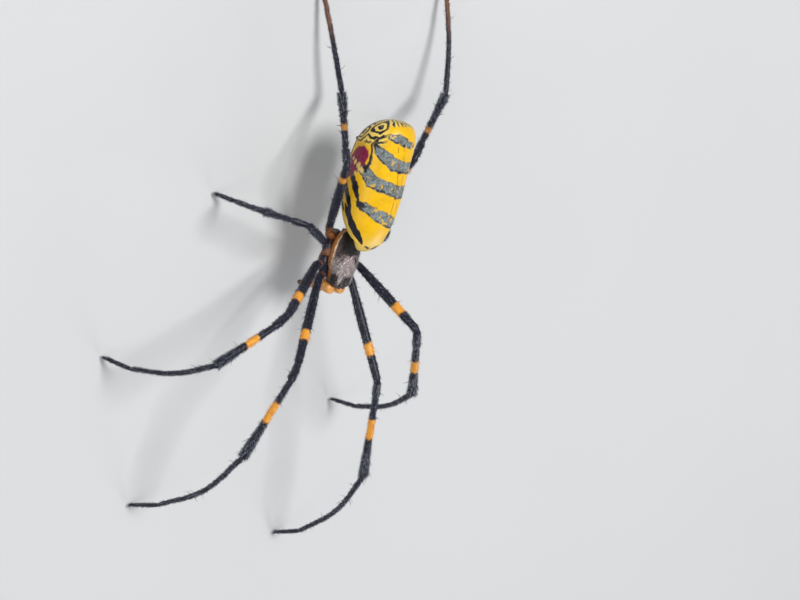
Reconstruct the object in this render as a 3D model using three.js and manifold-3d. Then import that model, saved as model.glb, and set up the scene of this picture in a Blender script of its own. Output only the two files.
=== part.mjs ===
// Golden silk orb weaver, an adult female at life size, standing on the floor.
// Millimetres, +Z up, +Y toward the head, +X to the spider's right, floor at z = 0.
import * as THREE from 'three';
import { mergeVertices } from 'three/addons/utils/BufferGeometryUtils.js';
import Module from 'manifold-3d';

const wasm = await Module();
wasm.setup();

// Driving dimensions
const GAP = 0.25;
const SIDES = { body: 24, leg: 8, foot: 6 };

const PROSOMA = {
  height: 7.8,
  rear: -3.25,
  front: 3.55,
  halfWidth: 1.95,
  headHalfWidth: 1.42,
  crown: 1.05,
  headCrown: 1.35,
  keel: 1.15,
  rearBluntness: 4,
  frontBluntness: 8,
  sideRoundness: 0.8,
  topRoundness: 0.95,
  headStart: 0.3,
  headEnd: 1.9,
};

const ABDOMEN = {
  front: -1.6,
  rear: -16.65,
  halfWidth: 3.45,
  axisFront: 10.0,
  axisRear: 9.1,
  dorsal: 2.82,
  ventral: 3.58,
  chestReach: 0.4,
  slantedRear: 0.3,
  dorsalPower: 9,
  ventralPower: 3.2,
  sidePower: 7,
  frontPower: 2.2,
};

const PEDICEL = { radius: 0.55, y: -3.7, z: 8 };
const SPINNERETS = {
  y: -11.9,
  z: 6.25,
  length: 1.55,
  radius: 0.42,
  tipRadius: 0.22,
  spread: 0.25,
  splay: 0.16,
  tilt: 18,
  rowPitch: 0.55,
  rowTilt: 12,
  rowShrink: 0.1,
};
const CHELICERA = { x: 0.78, y: 3.7, z: 8.0, length: 3.4, radius: 0.68, rootShare: 0.8, tipShare: 0.62, lean: 10 };
const FANG = { length: 1.3, radius: 0.27, tip: 0.1, knuckle: 0.1, inward: 0.45, back: 0.85, drop: 0.28 };
const PALP = { x: 1.55, y: 2.75, z: 6.5 };
const PALP_PARTS = {
  base: { length: 1.6, radius: 0.4, endRadius: 0.34, heading: 64, slope: -12 },
  tip: { length: 2.1, radius: 0.34, endRadius: 0.24, heading: 90, slope: -82 },
};

const FOOT_CENTRE = 0.13;

// Lengths and radii of the four pairs of legs, first pair at the front
const LEG_SIZES = [
  { femur: 12.6, patella: 3.2, tibia: 10.7, metatarsus: 14.8, tarsus: 4.1, thick: 0.93 },
  { femur: 10.65, patella: 2.8, tibia: 8.3, metatarsus: 11.8, tarsus: 3.7, thick: 0.98 },
  { femur: 7.4, patella: 2.0, tibia: 4.1, metatarsus: 6.2, tarsus: 2.6, thick: 0.74 },
  { femur: 10.4, patella: 2.4, tibia: 7.4, metatarsus: 11.6, tarsus: 2.9, thick: 0.88 },
];
const LEG_RADII = {
  coxa: [0.62, 0.56],
  femur: [0.42, 0.54, 0.46],
  patella: [0.42, 0.46],
  tibia: [0.36, 0.38, 0.42],
  metatarsus: [0.33, 0.27, 0.25],
  tarsus: [0.25, 0.25, 0.22],
};

// Where each femur begins, and where its coxa leaves the body
const HIPS = [
  { coxa: [1.0, 1.6, 6.75], femur: [2.15, 2.05, 7.05] },
  { coxa: [1.15, 0.55, 6.7], femur: [2.75, 0.9, 6.9] },
  { coxa: [1.1, -0.7, 6.7], femur: [2.45, -1.25, 6.95] },
  { coxa: [0.9, -1.85, 6.65], femur: [2.4, -2.65, 6.7] },
];

// Heading from the spider's own side toward the head, and slope above level, in degrees
const STANCE = {
  leg_1_right: { femur: [47.3, 35.7], patella: [24, 37], tibia: [83, -14], metatarsus: [94, -28, 80, -59], tarsus: 54 },
  leg_2_right: { femur: [24.2, 33.2], patella: [21, 19], tibia: [30, 2], metatarsus: [94, -53, 41, -71], tarsus: 1 },
  leg_3_right: { femur: [-28, 22], patella: [-7, -30], tibia: [-12, -5], metatarsus: [142, -69, 124, -79], tarsus: 0 },
  leg_4_right: { femur: [-67.5, 21], patella: [-126, -49], tibia: [-119, -46], metatarsus: [-64, -6, -70, -18], tarsus: -73 },
  leg_1_left: { femur: [80.5, 35.3], patella: [56, -21], tibia: [77, -3], metatarsus: [74, -24, 87, -51], tarsus: 107 },
  leg_2_left: { femur: [56.2, 60.2], patella: [59, -14], tibia: [60, -15], metatarsus: [62, -42, 81, -70], tarsus: 153 },
  leg_3_left: { femur: [3, -20.7], patella: [-100, -10], tibia: [-125, -14], metatarsus: [-92, -12, -64, -18], tarsus: -15 },
  leg_4_left: { femur: [-73.5, 13], patella: [-39, -31], tibia: [-43, -25], metatarsus: [-86, -18, -104, -17], tarsus: -107 },
};

// Colours of the plain solids
const COLOURS = {
  leg: 0x14131c,
  coxa: 0x6b3a16,
  carapace: 0x6d5a52,
  abdomen: 0xf2c40c,
  jaw: 0xc9782a,
  fang: 0x1a0f0a,
  palp: 0xb06a22,
  spinneret: 0x3a2a20,
};

const model = new THREE.Group();
const UP = new THREE.Vector3(0, 1, 0);
const radians = THREE.MathUtils.degToRad;

function finish(colour, roughness) {
  return new THREE.MeshStandardMaterial({ color: colour, roughness, metalness: 0 });
}

function addMesh(name, geometry, colour, roughness = 0.45) {
  const mesh = new THREE.Mesh(geometry, finish(colour, roughness));
  mesh.name = name;
  model.add(mesh);
  return mesh;
}

// A unit vector from a heading and a slope, on the right (side 1) or the left (side -1)
function direction(heading, slope, side) {
  const level = Math.cos(radians(slope));
  return new THREE.Vector3(
    side * level * Math.cos(radians(heading)),
    level * Math.sin(radians(heading)),
    Math.sin(radians(slope)),
  );
}

// Smooth blend through evenly spaced values
function blend(values, t) {
  const place = Math.min(Math.max(t, 0), 1) * (values.length - 1);
  const index = Math.min(Math.floor(place), values.length - 2);
  const part = place - index;
  const eased = part * part * (3 - 2 * part);
  return values[index] * (1 - eased) + values[index + 1] * eased;
}

// A solid of revolution along +Y with round ends, its radius blended along its length
function spindle(length, radii, sides, steps) {
  const first = radii[0];
  const last = radii[radii.length - 1];
  const profile = [new THREE.Vector2(0, 0)];
  for (const turn of [35, 65]) {
    const x = first * Math.sin(radians(turn));
    profile.push(new THREE.Vector2(x, first * 0.8 * (1 - Math.cos(radians(turn)))));
  }
  for (let i = 0; i <= steps; i += 1) {
    const t = i / steps;
    const y = first * 0.8 + t * (length - 0.8 * (first + last));
    profile.push(new THREE.Vector2(blend(radii, t), y));
  }
  for (const turn of [65, 35]) {
    const x = last * Math.sin(radians(turn));
    profile.push(new THREE.Vector2(x, length - last * 0.8 * (1 - Math.cos(radians(turn)))));
  }
  profile.push(new THREE.Vector2(0, length));
  return new THREE.LatheGeometry(profile, sides);
}

// Points along a path whose heading and slope change steadily
function curvedPath(start, length, angles, side, steps) {
  const [heading0, slope0, heading1, slope1] = angles;
  const points = [start.clone()];
  for (let i = 0; i < steps; i += 1) {
    const t = (i + 0.5) / steps;
    const heading = heading0 + (heading1 - heading0) * t;
    const slope = slope0 + (slope1 - slope0) * t;
    const stride = direction(heading, slope, side).multiplyScalar(length / steps);
    points.push(points[i].clone().add(stride));
  }
  return points;
}

// A spindle bent so that its axis follows a smooth curve through the given points
function bentSpindle(points, radii, sides, steps) {
  const curve = new THREE.CatmullRomCurve3(points);
  const length = curve.getLength();
  const geometry = spindle(length - GAP, radii, sides, steps);
  const place = geometry.getAttribute('position');
  const vertex = new THREE.Vector3();
  const turn = new THREE.Quaternion();
  for (let i = 0; i < place.count; i += 1) {
    vertex.fromBufferAttribute(place, i);
    const t = (vertex.y + GAP / 2) / length;
    turn.setFromUnitVectors(UP, curve.getTangentAt(t));
    vertex.y = 0;
    vertex.applyQuaternion(turn).add(curve.getPointAt(t));
    place.setXYZ(i, vertex.x, vertex.y, vertex.z);
  }
  geometry.computeVertexNormals();
  return geometry;
}

// The stretch between two joints, short of each by half the gap
function between(start, end, radii, sides, steps) {
  const axis = end.clone().sub(start);
  const geometry = spindle(axis.length() - GAP, radii, sides, steps);
  axis.normalize();
  geometry.applyQuaternion(new THREE.Quaternion().setFromUnitVectors(UP, axis));
  const origin = start.clone().addScaledVector(axis, GAP / 2);
  geometry.translate(origin.x, origin.y, origin.z);
  return geometry;
}

function toSolid(geometry) {
  const bare = geometry.clone();
  bare.deleteAttribute('normal');
  bare.deleteAttribute('uv');
  const merged = mergeVertices(bare, 1e-5);
  const source = merged.getIndex().array;
  const triangles = [];
  for (let i = 0; i < source.length; i += 3) {
    const [a, b, c] = [source[i], source[i + 1], source[i + 2]];
    if (a !== b && b !== c && a !== c) triangles.push(a, b, c);
  }
  const mesh = new wasm.Mesh({
    numProp: 3,
    vertProperties: Float32Array.from(merged.getAttribute('position').array),
    triVerts: Uint32Array.from(triangles),
  });
  return new wasm.Manifold(mesh);
}

function toGeometry(solid) {
  const parts = solid.decompose().sort((a, b) => b.volume() - a.volume());
  const mesh = parts[0].getMesh();
  const geometry = new THREE.BufferGeometry();
  geometry.setAttribute('position', new THREE.BufferAttribute(Float32Array.from(mesh.vertProperties), 3));
  geometry.setIndex(new THREE.BufferAttribute(Uint32Array.from(mesh.triVerts), 1));
  geometry.computeVertexNormals();
  return geometry;
}

// A ball whose vertices are moved by a function of station (0 rear pole to 1 front pole) and angle
function shapedBall(around, along, shape) {
  const ball = new THREE.SphereGeometry(1, around, along);
  const place = ball.getAttribute('position');
  const vertex = new THREE.Vector3();
  for (let i = 0; i < place.count; i += 1) {
    vertex.fromBufferAttribute(place, i);
    const station = Math.acos(Math.min(Math.max(-vertex.y, -1), 1)) / Math.PI;
    const pole = Math.hypot(vertex.x, vertex.z) < 1e-6;
    const angle = pole ? 0 : Math.atan2(vertex.z, vertex.x);
    const [x, y, z] = shape(station, pole ? null : angle);
    place.setXYZ(i, x, y, z);
  }
  ball.computeVertexNormals();
  return ball;
}

// The cephalothorax: widest behind its middle, with a narrower, raised head
function prosomaGeometry(grow) {
  const { rear, front, height } = PROSOMA;
  return shapedBall(SIDES.body, 20, (station, angle) => {
    const s = (1 - Math.cos(station * Math.PI)) / 2;
    const y = rear - grow + s * (front - rear + 2 * grow);
    const blunt = s < 0.5 ? PROSOMA.rearBluntness : PROSOMA.frontBluntness;
    const round = Math.sqrt(Math.max(0, 1 - Math.abs(2 * s - 1) ** blunt));
    const head = THREE.MathUtils.smoothstep(y, PROSOMA.headStart, PROSOMA.headEnd);
    const wide = PROSOMA.halfWidth * (1 - head) + PROSOMA.headHalfWidth * head;
    const crown = PROSOMA.crown * (1 - head) + PROSOMA.headCrown * head;
    if (angle === null) return [0, y, height + 0.1];
    const up = Math.sin(angle);
    const side = Math.cos(angle);
    const tall = up > 0 ? crown : PROSOMA.keel;
    const x = (wide + grow) * round * Math.sign(side) * Math.abs(side) ** PROSOMA.sideRoundness;
    const z = height + (tall + grow) * round * Math.sign(up) * Math.abs(up) ** PROSOMA.topRoundness;
    return [x, y, z];
  });
}

// Share of full size along the abdomen, from its rear (0) to its front (1)
function abdomenFullness(s, rearPower, frontReach = 0.5) {
  const middle = 0.5;
  const out = s < middle ? ((middle - s) / middle) ** rearPower : ((s - middle) / frontReach) ** ABDOMEN.frontPower;
  return Math.sqrt(Math.max(0, 1 - out));
}

function abdomenGeometry(grow) {
  const { front, rear, axisFront, axisRear } = ABDOMEN;
  return shapedBall(SIDES.body, 26, (station, angle) => {
    const s = (1 - Math.cos(station * Math.PI)) / 2;
    const y = rear - grow + s * (front - rear + 2 * grow);
    const axis = axisRear + (axisFront - axisRear) * s;
    const top = axis + (ABDOMEN.dorsal + grow) * abdomenFullness(s, ABDOMEN.dorsalPower);
    const depth = (ABDOMEN.ventral + grow) * abdomenFullness(s, ABDOMEN.ventralPower, ABDOMEN.chestReach);
    const low = axis - depth - 0.05;
    if (angle === null) return [0, y, axis];
    const x = (ABDOMEN.halfWidth + grow) * abdomenFullness(s, ABDOMEN.sidePower) * Math.cos(angle);
    const z = (top + low) / 2 + ((top - low) / 2) * Math.sin(angle);
    const slant = ABDOMEN.slantedRear * (z - axis) * (1 - s) ** 2;
    return [x, y - slant, z];
  });
}

const prosoma = toSolid(prosomaGeometry(0));
const prosomaRoom = toSolid(prosomaGeometry(GAP));
const abdomenSolid = toSolid(abdomenGeometry(0)).subtract(prosomaRoom);
const abdomenRoom = toSolid(abdomenGeometry(GAP));

addMesh('cephalothorax', toGeometry(prosoma), COLOURS.carapace, 0.6);
addMesh('abdomen', toGeometry(abdomenSolid), COLOURS.abdomen, 0.4);

// The narrow waist between the cephalothorax and the abdomen
function pedicelGeometry() {
  const start = new THREE.Vector3(0, PEDICEL.y + 1.6, PEDICEL.z - 0.2);
  const end = new THREE.Vector3(0, PEDICEL.y - 1.6, PEDICEL.z + 0.2);
  const stalk = toSolid(between(start, end, [PEDICEL.radius, PEDICEL.radius], SIDES.leg, 4));
  return toGeometry(stalk.subtract(prosomaRoom).subtract(abdomenRoom));
}
addMesh('pedicel', pedicelGeometry(), COLOURS.coxa);

// Six short cones under the rear of the abdomen
function spinneretGeometry() {
  let cluster = null;
  for (let i = 0; i < 6; i += 1) {
    const row = Math.floor(i / 2);
    const side = i % 2 === 0 ? -1 : 1;
    const reach = SPINNERETS.length - SPINNERETS.rowShrink * row;
    const forward = SPINNERETS.y + SPINNERETS.rowPitch * (1 - row);
    const root = new THREE.Vector3(side * SPINNERETS.spread, forward, SPINNERETS.z);
    const lean = radians(SPINNERETS.tilt + SPINNERETS.rowTilt * (row - 1));
    const axis = new THREE.Vector3(side * SPINNERETS.splay, -Math.sin(lean), -Math.cos(lean)).normalize();
    const tip = root.clone().addScaledVector(axis, reach);
    const radii = [SPINNERETS.radius, SPINNERETS.radius, SPINNERETS.tipRadius];
    const cone = toSolid(between(root, tip, radii, SIDES.foot, 3));
    cluster = cluster === null ? cone : cluster.add(cone);
  }
  return toGeometry(cluster.subtract(abdomenRoom));
}
addMesh('spinnerets', spinneretGeometry(), COLOURS.spinneret);

// The jaws hang from the front of the head, each with a fang folded inward
function addJaw(side, word) {
  const { x, y, z, length, radius, rootShare, tipShare, lean } = CHELICERA;
  const root = new THREE.Vector3(side * x, y, z);
  const axis = new THREE.Vector3(0, Math.sin(radians(lean)), -Math.cos(radians(lean)));
  const tip = root.clone().addScaledVector(axis, length);
  const radii = [radius * rootShare, radius, radius * tipShare];
  const jaw = toSolid(between(root, tip, radii, SIDES.leg, 6));
  addMesh(`chelicera_${word}`, toGeometry(jaw.subtract(prosomaRoom)), COLOURS.jaw);
  const knuckle = tip.clone().add(new THREE.Vector3(side * FANG.knuckle, -FANG.knuckle / 2, 0));
  const reach = new THREE.Vector3(-side * FANG.inward, -FANG.back, 0).multiplyScalar(FANG.length);
  const point = knuckle.clone().add(reach);
  point.z -= FANG.drop;
  const claw = between(knuckle, point, [FANG.radius, FANG.radius * 0.8, FANG.tip], SIDES.foot, 3);
  const room = toSolid(between(root, tip, radii.map((value) => value + GAP), SIDES.leg, 6));
  addMesh(`fang_${word}`, toGeometry(toSolid(claw).subtract(room)), COLOURS.fang, 0.25);
}

// The short feelers beside the jaws
function addPalp(side, word) {
  let start = new THREE.Vector3(side * PALP.x, PALP.y, PALP.z);
  for (const [part, size] of Object.entries(PALP_PARTS)) {
    const reach = direction(size.heading, size.slope, side).multiplyScalar(size.length);
    const end = start.clone().add(reach);
    const radii = [size.radius, size.radius * 1.05, size.endRadius];
    const piece = toSolid(between(start, end, radii, SIDES.foot, 4)).subtract(prosomaRoom);
    addMesh(`palp_${word}_${part}`, toGeometry(piece), COLOURS.palp);
    start = end;
  }
}

function scaled(radii, factor) {
  return radii.map((radius) => radius * factor);
}

// A foot cut flat where it meets the floor
function cutAtFloor(geometry) {
  const slab = new THREE.BoxGeometry(200, 200, 4);
  slab.translate(0, 0, -2);
  return toGeometry(toSolid(geometry).subtract(toSolid(slab)));
}

function addLeg(name) {
  const stance = STANCE[name];
  const pair = Number(name[4]) - 1;
  const side = name.endsWith('right') ? 1 : -1;
  const size = LEG_SIZES[pair];
  const thick = size.thick;
  const root = new THREE.Vector3(...HIPS[pair].coxa);
  const hip = new THREE.Vector3(...HIPS[pair].femur);
  root.x *= side;
  hip.x *= side;
  const coxa = toSolid(between(root, hip, LEG_RADII.coxa, SIDES.leg, 3));
  addMesh(`${name}_coxa`, toGeometry(coxa.subtract(prosomaRoom)), COLOURS.coxa);
  const knee = hip.clone().add(direction(...stance.femur, side).multiplyScalar(size.femur));
  addMesh(`${name}_femur`, between(hip, knee, scaled(LEG_RADII.femur, thick), SIDES.leg, 6), COLOURS.leg);
  const kneeEnd = knee.clone().add(direction(...stance.patella, side).multiplyScalar(size.patella));
  addMesh(`${name}_patella`, between(knee, kneeEnd, scaled(LEG_RADII.patella, thick), SIDES.leg, 3), COLOURS.leg);
  const shinEnd = kneeEnd.clone().add(direction(...stance.tibia, side).multiplyScalar(size.tibia));
  addMesh(`${name}_tibia`, between(kneeEnd, shinEnd, scaled(LEG_RADII.tibia, thick), SIDES.leg, 5), COLOURS.leg);
  const path = curvedPath(shinEnd, size.metatarsus, stance.metatarsus, side, 4);
  const low = path[path.length - 1];
  addMesh(`${name}_metatarsus`, bentSpindle(path, LEG_RADII.metatarsus, SIDES.foot, 8), COLOURS.leg);
  const slope = -THREE.MathUtils.radToDeg(Math.asin(Math.min(0.98, (low.z - FOOT_CENTRE) / size.tarsus)));
  const foot = low.clone().add(direction(stance.tarsus, slope, side).multiplyScalar(size.tarsus));
  foot.z = FOOT_CENTRE - 0.1;
  addMesh(`${name}_tarsus`, cutAtFloor(between(low, foot, LEG_RADII.tarsus, SIDES.foot, 4)), COLOURS.leg);
}

addJaw(1, 'right');
addJaw(-1, 'left');
addPalp(1, 'right');
addPalp(-1, 'left');
for (const name of Object.keys(STANCE)) addLeg(name);

// The origin lies on the floor under the middle of the box around the spider
const box = new THREE.Box3().setFromObject(model);
model.position.set(-(box.min.x + box.max.x) / 2, -(box.min.y + box.max.y) / 2, 0);

export default model;
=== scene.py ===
import math

import bmesh
import bpy
import numpy as np
from mathutils import Matrix, Vector


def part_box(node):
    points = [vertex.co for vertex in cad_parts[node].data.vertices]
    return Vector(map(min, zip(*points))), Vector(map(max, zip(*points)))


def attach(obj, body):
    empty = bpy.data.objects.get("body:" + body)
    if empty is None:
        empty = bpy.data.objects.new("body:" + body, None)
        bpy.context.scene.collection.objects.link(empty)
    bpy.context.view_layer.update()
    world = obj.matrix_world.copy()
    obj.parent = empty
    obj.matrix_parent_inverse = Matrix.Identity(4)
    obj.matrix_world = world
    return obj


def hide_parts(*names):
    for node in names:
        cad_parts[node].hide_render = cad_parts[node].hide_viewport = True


bl_info = {
    "name": "Golden Silk Orb Weaver",
    "version": (1, 0, 0),
    "blender": (4, 5, 0),
    "location": "View3D > Sidebar > Orb Weaver",
    "description": "A life-size orb weaver spider: banded abdomen, haired carapace and ringed legs",
    "category": "Add Mesh",
}

# The frame, and the sizes that every piece is worked out from, in millimetres
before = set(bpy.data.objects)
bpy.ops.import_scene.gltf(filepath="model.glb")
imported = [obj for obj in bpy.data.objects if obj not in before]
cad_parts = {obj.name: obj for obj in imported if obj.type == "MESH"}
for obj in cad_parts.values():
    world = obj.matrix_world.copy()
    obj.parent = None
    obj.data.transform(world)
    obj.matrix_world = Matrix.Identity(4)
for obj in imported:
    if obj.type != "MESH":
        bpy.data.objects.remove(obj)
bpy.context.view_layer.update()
MM = 0.001
PER_MM = 1000.0
BODY = "root"
SIDES = {"right": 1, "left": -1}
LEG_NAMES = [f"leg_{pair}_{side}" for pair in (1, 2, 3, 4) for side in SIDES]
LEG_PARTS = ("coxa", "femur", "patella", "tibia", "metatarsus", "tarsus")
COXA, FEMUR, _, TIBIA, METATARSUS, TARSUS = range(len(LEG_PARTS))


def node_box(node):
    low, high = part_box(node)
    return np.array(low) * PER_MM, np.array(high) * PER_MM


PROSOMA_LOW, PROSOMA_HIGH = node_box("cephalothorax")
PROSOMA_MIDDLE = (PROSOMA_LOW + PROSOMA_HIGH) / 2
_, ABDOMEN_HIGH = node_box("abdomen")
MIDLINE = float(PROSOMA_MIDDLE[0])

# The cephalothorax as in the solid; its lengths are measured from the middle of the four leg pairs
PROSOMA = {"height": 7.8, "half_width": 1.95, "head_half_width": 1.42, "crown": 1.05,
           "head_crown": 1.35, "keel": 1.15, "head_start": 0.3, "head_end": 1.9}
PROSOMA_POWERS = {"rear": 4, "front": 8, "side": 0.8, "top": 0.95}
PROSOMA_MESH = (300, 200)
HEAD_REACH = 3.55
CENTRE_Y = float(PROSOMA_HIGH[1]) - HEAD_REACH

# The abdomen as in the solid: its length, its axis, its half sizes and how full its ends are
ABDOMEN_LENGTH = 15.05
ABDOMEN_AXIS = {"front": 10.0, "rear": 9.1}
ABDOMEN_SIZE = {"half_width": 3.45, "dorsal": 2.82, "ventral": 3.58, "chest_reach": 0.4, "slant": 0.3}
ABDOMEN_POWERS = {"dorsal": 9, "ventral": 3.2, "side": 7, "front": 2.2}
ABDOMEN_MESH = (400, 230)
SKIN_INSET = 0.05

# Small pits along the back, as (mm from the front, degrees to each side of the top)
BACK_PITS = ((4.0, 24), (6.6, 22), (9.3, 20), (11.6, 18))
PIT = {"depth": 0.07, "radius": 0.16}

# The legs: thickness by pair, radii of each segment from its near end to its far end, the segments
# that are as thick on every leg, and how the tubes over them are spaced, rooted and drawn in
LEG_THICKNESS = {1: 0.93, 2: 0.98, 3: 0.74, 4: 0.88}
LEG_RADII = {
    "coxa": (0.62, 0.56),
    "femur": (0.42, 0.54, 0.46),
    "patella": (0.42, 0.46),
    "tibia": (0.36, 0.39, 0.46),
    "metatarsus": (0.28, 0.24, 0.22),
    "tarsus": (0.22, 0.20, 0.16),
}
EVEN_PARTS = ("coxa", "metatarsus", "tarsus")
LEG_SPACING = 0.16
LEG_ROOT_REACH = 0.7
LEG_SIDES = 18
JOINT_PINCH = {"depth": 0.16, "reach": 0.16}
FOOT_TAPER = 0.35

# The parts of the mouth: radii from root to end, sides of the tube, and where the tone turns dark
JAW = {"radii": (0.6, 0.73, 0.72, 0.5), "sides": 28, "dark": (0.72, 0.95), "grow": 0.4}
FANG = {"radii": (0.24, 0.2, 0.08), "sides": 16}
FEELER_ROOT = {"radii": (0.42, 0.42, 0.36), "sides": 18, "grow": 0.3}
FEELER_END = {"radii": (0.34, 0.36, 0.3, 0.26), "sides": 18, "dark": (0.45, 0.8), "grow": 0.15}
TUBE_STATIONS = 28
TUBE_ROUNDING = 0.28

# Spinnerets: radii from root to end, and each pair's place forward and share of the full length
SPINNERET_RADII = (0.27, 0.30, 0.25, 0.15)
SPINNERET_ROWS = ((0.30, 0.92), (0.02, 0.8), (-0.26, 1.0))

# The view of the photograph: the camera's place from the middle of the leg pairs, its sides and lens
CAMERA_OFFSET = Vector((227.55, -94.49, 225.80))
CAMERA_RIGHT = Vector((-0.70911, -0.27103, 0.65092))
CAMERA_UP = Vector((-0.01754, -0.91610, -0.40056))
LENS = 135.0
SENSOR = 36.0
CLIP = (0.01, 20.0)

# Tones that no slider changes, each as its dark and its light shade
BELLY = ((0.03, 0.018, 0.014), (0.075, 0.045, 0.03))
LEG_ROOT_BROWN = ((0.16, 0.05, 0.015), (0.42, 0.15, 0.035))
LEG_HAIR = ((0.008, 0.008, 0.017), (0.50, 0.53, 0.66))
SILVER_HAIR = ((0.022, 0.014, 0.014), (1.0, 0.88, 0.88))
EYE_GLASS = ((0.004, 0.003, 0.003), (0.02, 0.008, 0.004))
JAW_ORANGE = ((0.70, 0.27, 0.05), (0.86, 0.42, 0.12))
FANG_HORN = ((0.012, 0.006, 0.004), (0.05, 0.018, 0.010))
CLAW_HORN = ((0.008, 0.005, 0.004), (0.03, 0.015, 0.01))
SPINNERET_BROWN = ((0.04, 0.02, 0.015), (0.16, 0.08, 0.04))
WAIST_BROWN = ((0.064, 0.028, 0.012), (0.16, 0.07, 0.03))
FLOOR_GREY = ((0.60, 0.60, 0.60), (0.64, 0.64, 0.64))
VEIN_RUST = (0.30, 0.07, 0.01)
# Cream of the painted sheen, a highlight along the carapace's sides
PAINTED_SHEEN_CREAM = (0.86, 0.62, 0.40)
CARAPACE_BLACK = (0.010, 0.006, 0.007)
END_BLACK = (0.012, 0.008, 0.008)
# Blue of the painted sheen flecked into the legs' black
LEG_PAINTED_SHEEN_BLUE = (0.011, 0.013, 0.034)
LEG_SHEEN = (0.45, 0.5, 0.9)
ROOM_TONE = (0.9, 0.95, 1.0)
ROOM_STRENGTH = 0.36
FLOOR_REACH = 3.0


def length_property(name, description, default):
    return bpy.props.FloatProperty(
        name=name, description=description, default=default, unit="LENGTH", precision=6)


def colour_property(name, description, default):
    return bpy.props.FloatVectorProperty(
        name=name, description=description, default=default, subtype="COLOR", min=0.0, max=1.0)


class WeaverSizes(bpy.types.PropertyGroup):
    """Sizes of the fine parts that the solids leave out"""

    leg_hair: length_property("Leg Hair", "Length of the short leg hairs", 0.00034)
    leg_spine: length_property("Leg Spine", "Length of the longer leg bristles", 0.0011)
    body_hair: length_property("Body Hair", "Length of the carapace hairs", 0.00042)
    hair_width: length_property("Hair Width", "Thickness of a hair at its root", 0.000032)
    eye: length_property("Eye", "Radius of a middle eye", 0.00021)
    claw: length_property("Claw", "Length of a foot's claws", 0.00032)


class WeaverColours(bpy.types.PropertyGroup):
    """Colours of the skin, its markings and the hair"""

    yellow: colour_property("Yellow", "Ground of the abdomen", (0.93, 0.52, 0.0))
    cream: colour_property("Cream", "Pale yellow of the abdomen's front and spots", (0.78, 0.60, 0.16))
    band: colour_property("Band", "Grey-blue of the cross bands", (0.20, 0.23, 0.23))
    crimson: colour_property("Crimson", "Red patch on the flank", (0.22, 0.008, 0.05))
    black: colour_property("Black", "Black stripes and outlines", (0.006, 0.006, 0.011))
    leg: colour_property("Leg", "Black cuticle of the legs", (0.005, 0.006, 0.013))
    ring: colour_property("Ring", "Orange-yellow leg rings", (0.95, 0.42, 0.05))
    carapace: colour_property("Carapace", "Dark cuticle of the carapace", (0.060, 0.030, 0.026))
    silver: colour_property("Silver", "Silvery hair of the carapace", (0.86, 0.70, 0.69))
    orange: colour_property("Orange", "Feelers and the carapace's edge", (0.72, 0.26, 0.04))


def sizes():
    return bpy.context.scene.weaver_sizes


def colours():
    return bpy.context.scene.weaver_colours


# Number helpers
def smooth(low, high, value):
    """Soft step from 0 at low to 1 at high."""
    t = np.clip((value - low) / (high - low), 0.0, 1.0)
    return t * t * (3 - 2 * t)


def lattice(cells, seed):
    """A number between 0 and 1 for each cell, the same on every run."""
    bits = (cells[..., 0] * 374761393 + cells[..., 1] * 668265263
            + cells[..., 2] * 2147483647 + seed * 974634777).astype(np.int64)
    bits = (bits ^ (bits >> 13)) * 1274126177
    bits = bits ^ (bits >> 16)
    return (bits & 0xFFFF) / 65535.0


def noise(points, size, seed):
    """Smooth noise between -1 and 1 with features of the given size."""
    place = points / size
    base = np.floor(place).astype(np.int64)
    part = place - base
    part = part * part * (3 - 2 * part)
    total = np.zeros(len(points))
    for corner in range(8):
        step = np.array([(corner >> axis) & 1 for axis in range(3)])
        weight = np.prod(np.where(step == 1, part, 1 - part), axis=1)
        total += weight * lattice(base + step, seed)
    return total * 2 - 1


def layered_noise(points, size, seed):
    return (noise(points, size, seed) + 0.5 * noise(points, size / 2.1, seed + 1)
            + 0.25 * noise(points, size / 4.3, seed + 2)) / 1.75


def blend(values, t):
    """Smooth blend through evenly spaced values."""
    place = np.clip(t, 0.0, 1.0) * (len(values) - 1)
    index = np.minimum(place.astype(int), len(values) - 2)
    part = place - index
    part = part * part * (3 - 2 * part)
    values = np.array(values)
    return values[index] * (1 - part) + values[index + 1] * part


def unit(vectors):
    return vectors / np.maximum(np.linalg.norm(vectors, axis=-1, keepdims=True), 1e-12)


# Mesh helpers
def link_object(name, mesh, material):
    mesh.name = name
    piece = bpy.data.objects.new(name, mesh)
    bpy.context.scene.collection.objects.link(piece)
    mesh.materials.append(material)
    mesh.polygons.foreach_set("use_smooth", np.ones(len(mesh.polygons), dtype=bool))
    return piece


def object_from_bmesh(name, bm, material):
    bmesh.ops.recalc_face_normals(bm, faces=bm.faces)
    mesh = bpy.data.meshes.new(name)
    bm.to_mesh(mesh)
    bm.free()
    return link_object(name, mesh, material)


def read_points(mesh):
    points = np.empty(len(mesh.vertices) * 3)
    mesh.vertices.foreach_get("co", points)
    return points.reshape(-1, 3)


def write_points(mesh, points):
    mesh.vertices.foreach_set("co", (points * MM).ravel())
    mesh.update()


def write_masks(mesh, **masks):
    """Numbers for each vertex, which materials read; a single number does for all."""
    for name, values in masks.items():
        layer = mesh.attributes.new(name, "FLOAT", "POINT")
        layer.data.foreach_set("value", np.full(len(mesh.vertices), values, dtype=np.float32))


def read_mask(mesh, name):
    values = np.empty(len(mesh.vertices), dtype=np.float32)
    mesh.attributes[name].data.foreach_get("value", values)
    return values


def mount(piece, slot, *nodes):
    """Set a piece on the body, in place of the given solids."""
    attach(piece, BODY)
    if nodes:
        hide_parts(*nodes)


def dense_ball(around, along):
    """Mesh of a unit ball, with its vertices' shares from pole to pole and angles from the top."""
    bm = bmesh.new()
    bmesh.ops.create_uvsphere(bm, u_segments=around, v_segments=along, radius=1.0)
    mesh = bpy.data.meshes.new("ball")
    bm.to_mesh(mesh)
    bm.free()
    points = read_points(mesh)
    share = (1 - np.clip(points[:, 2], -1, 1)) / 2
    angle = np.arctan2(points[:, 0], points[:, 1])
    return mesh, share, angle


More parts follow.
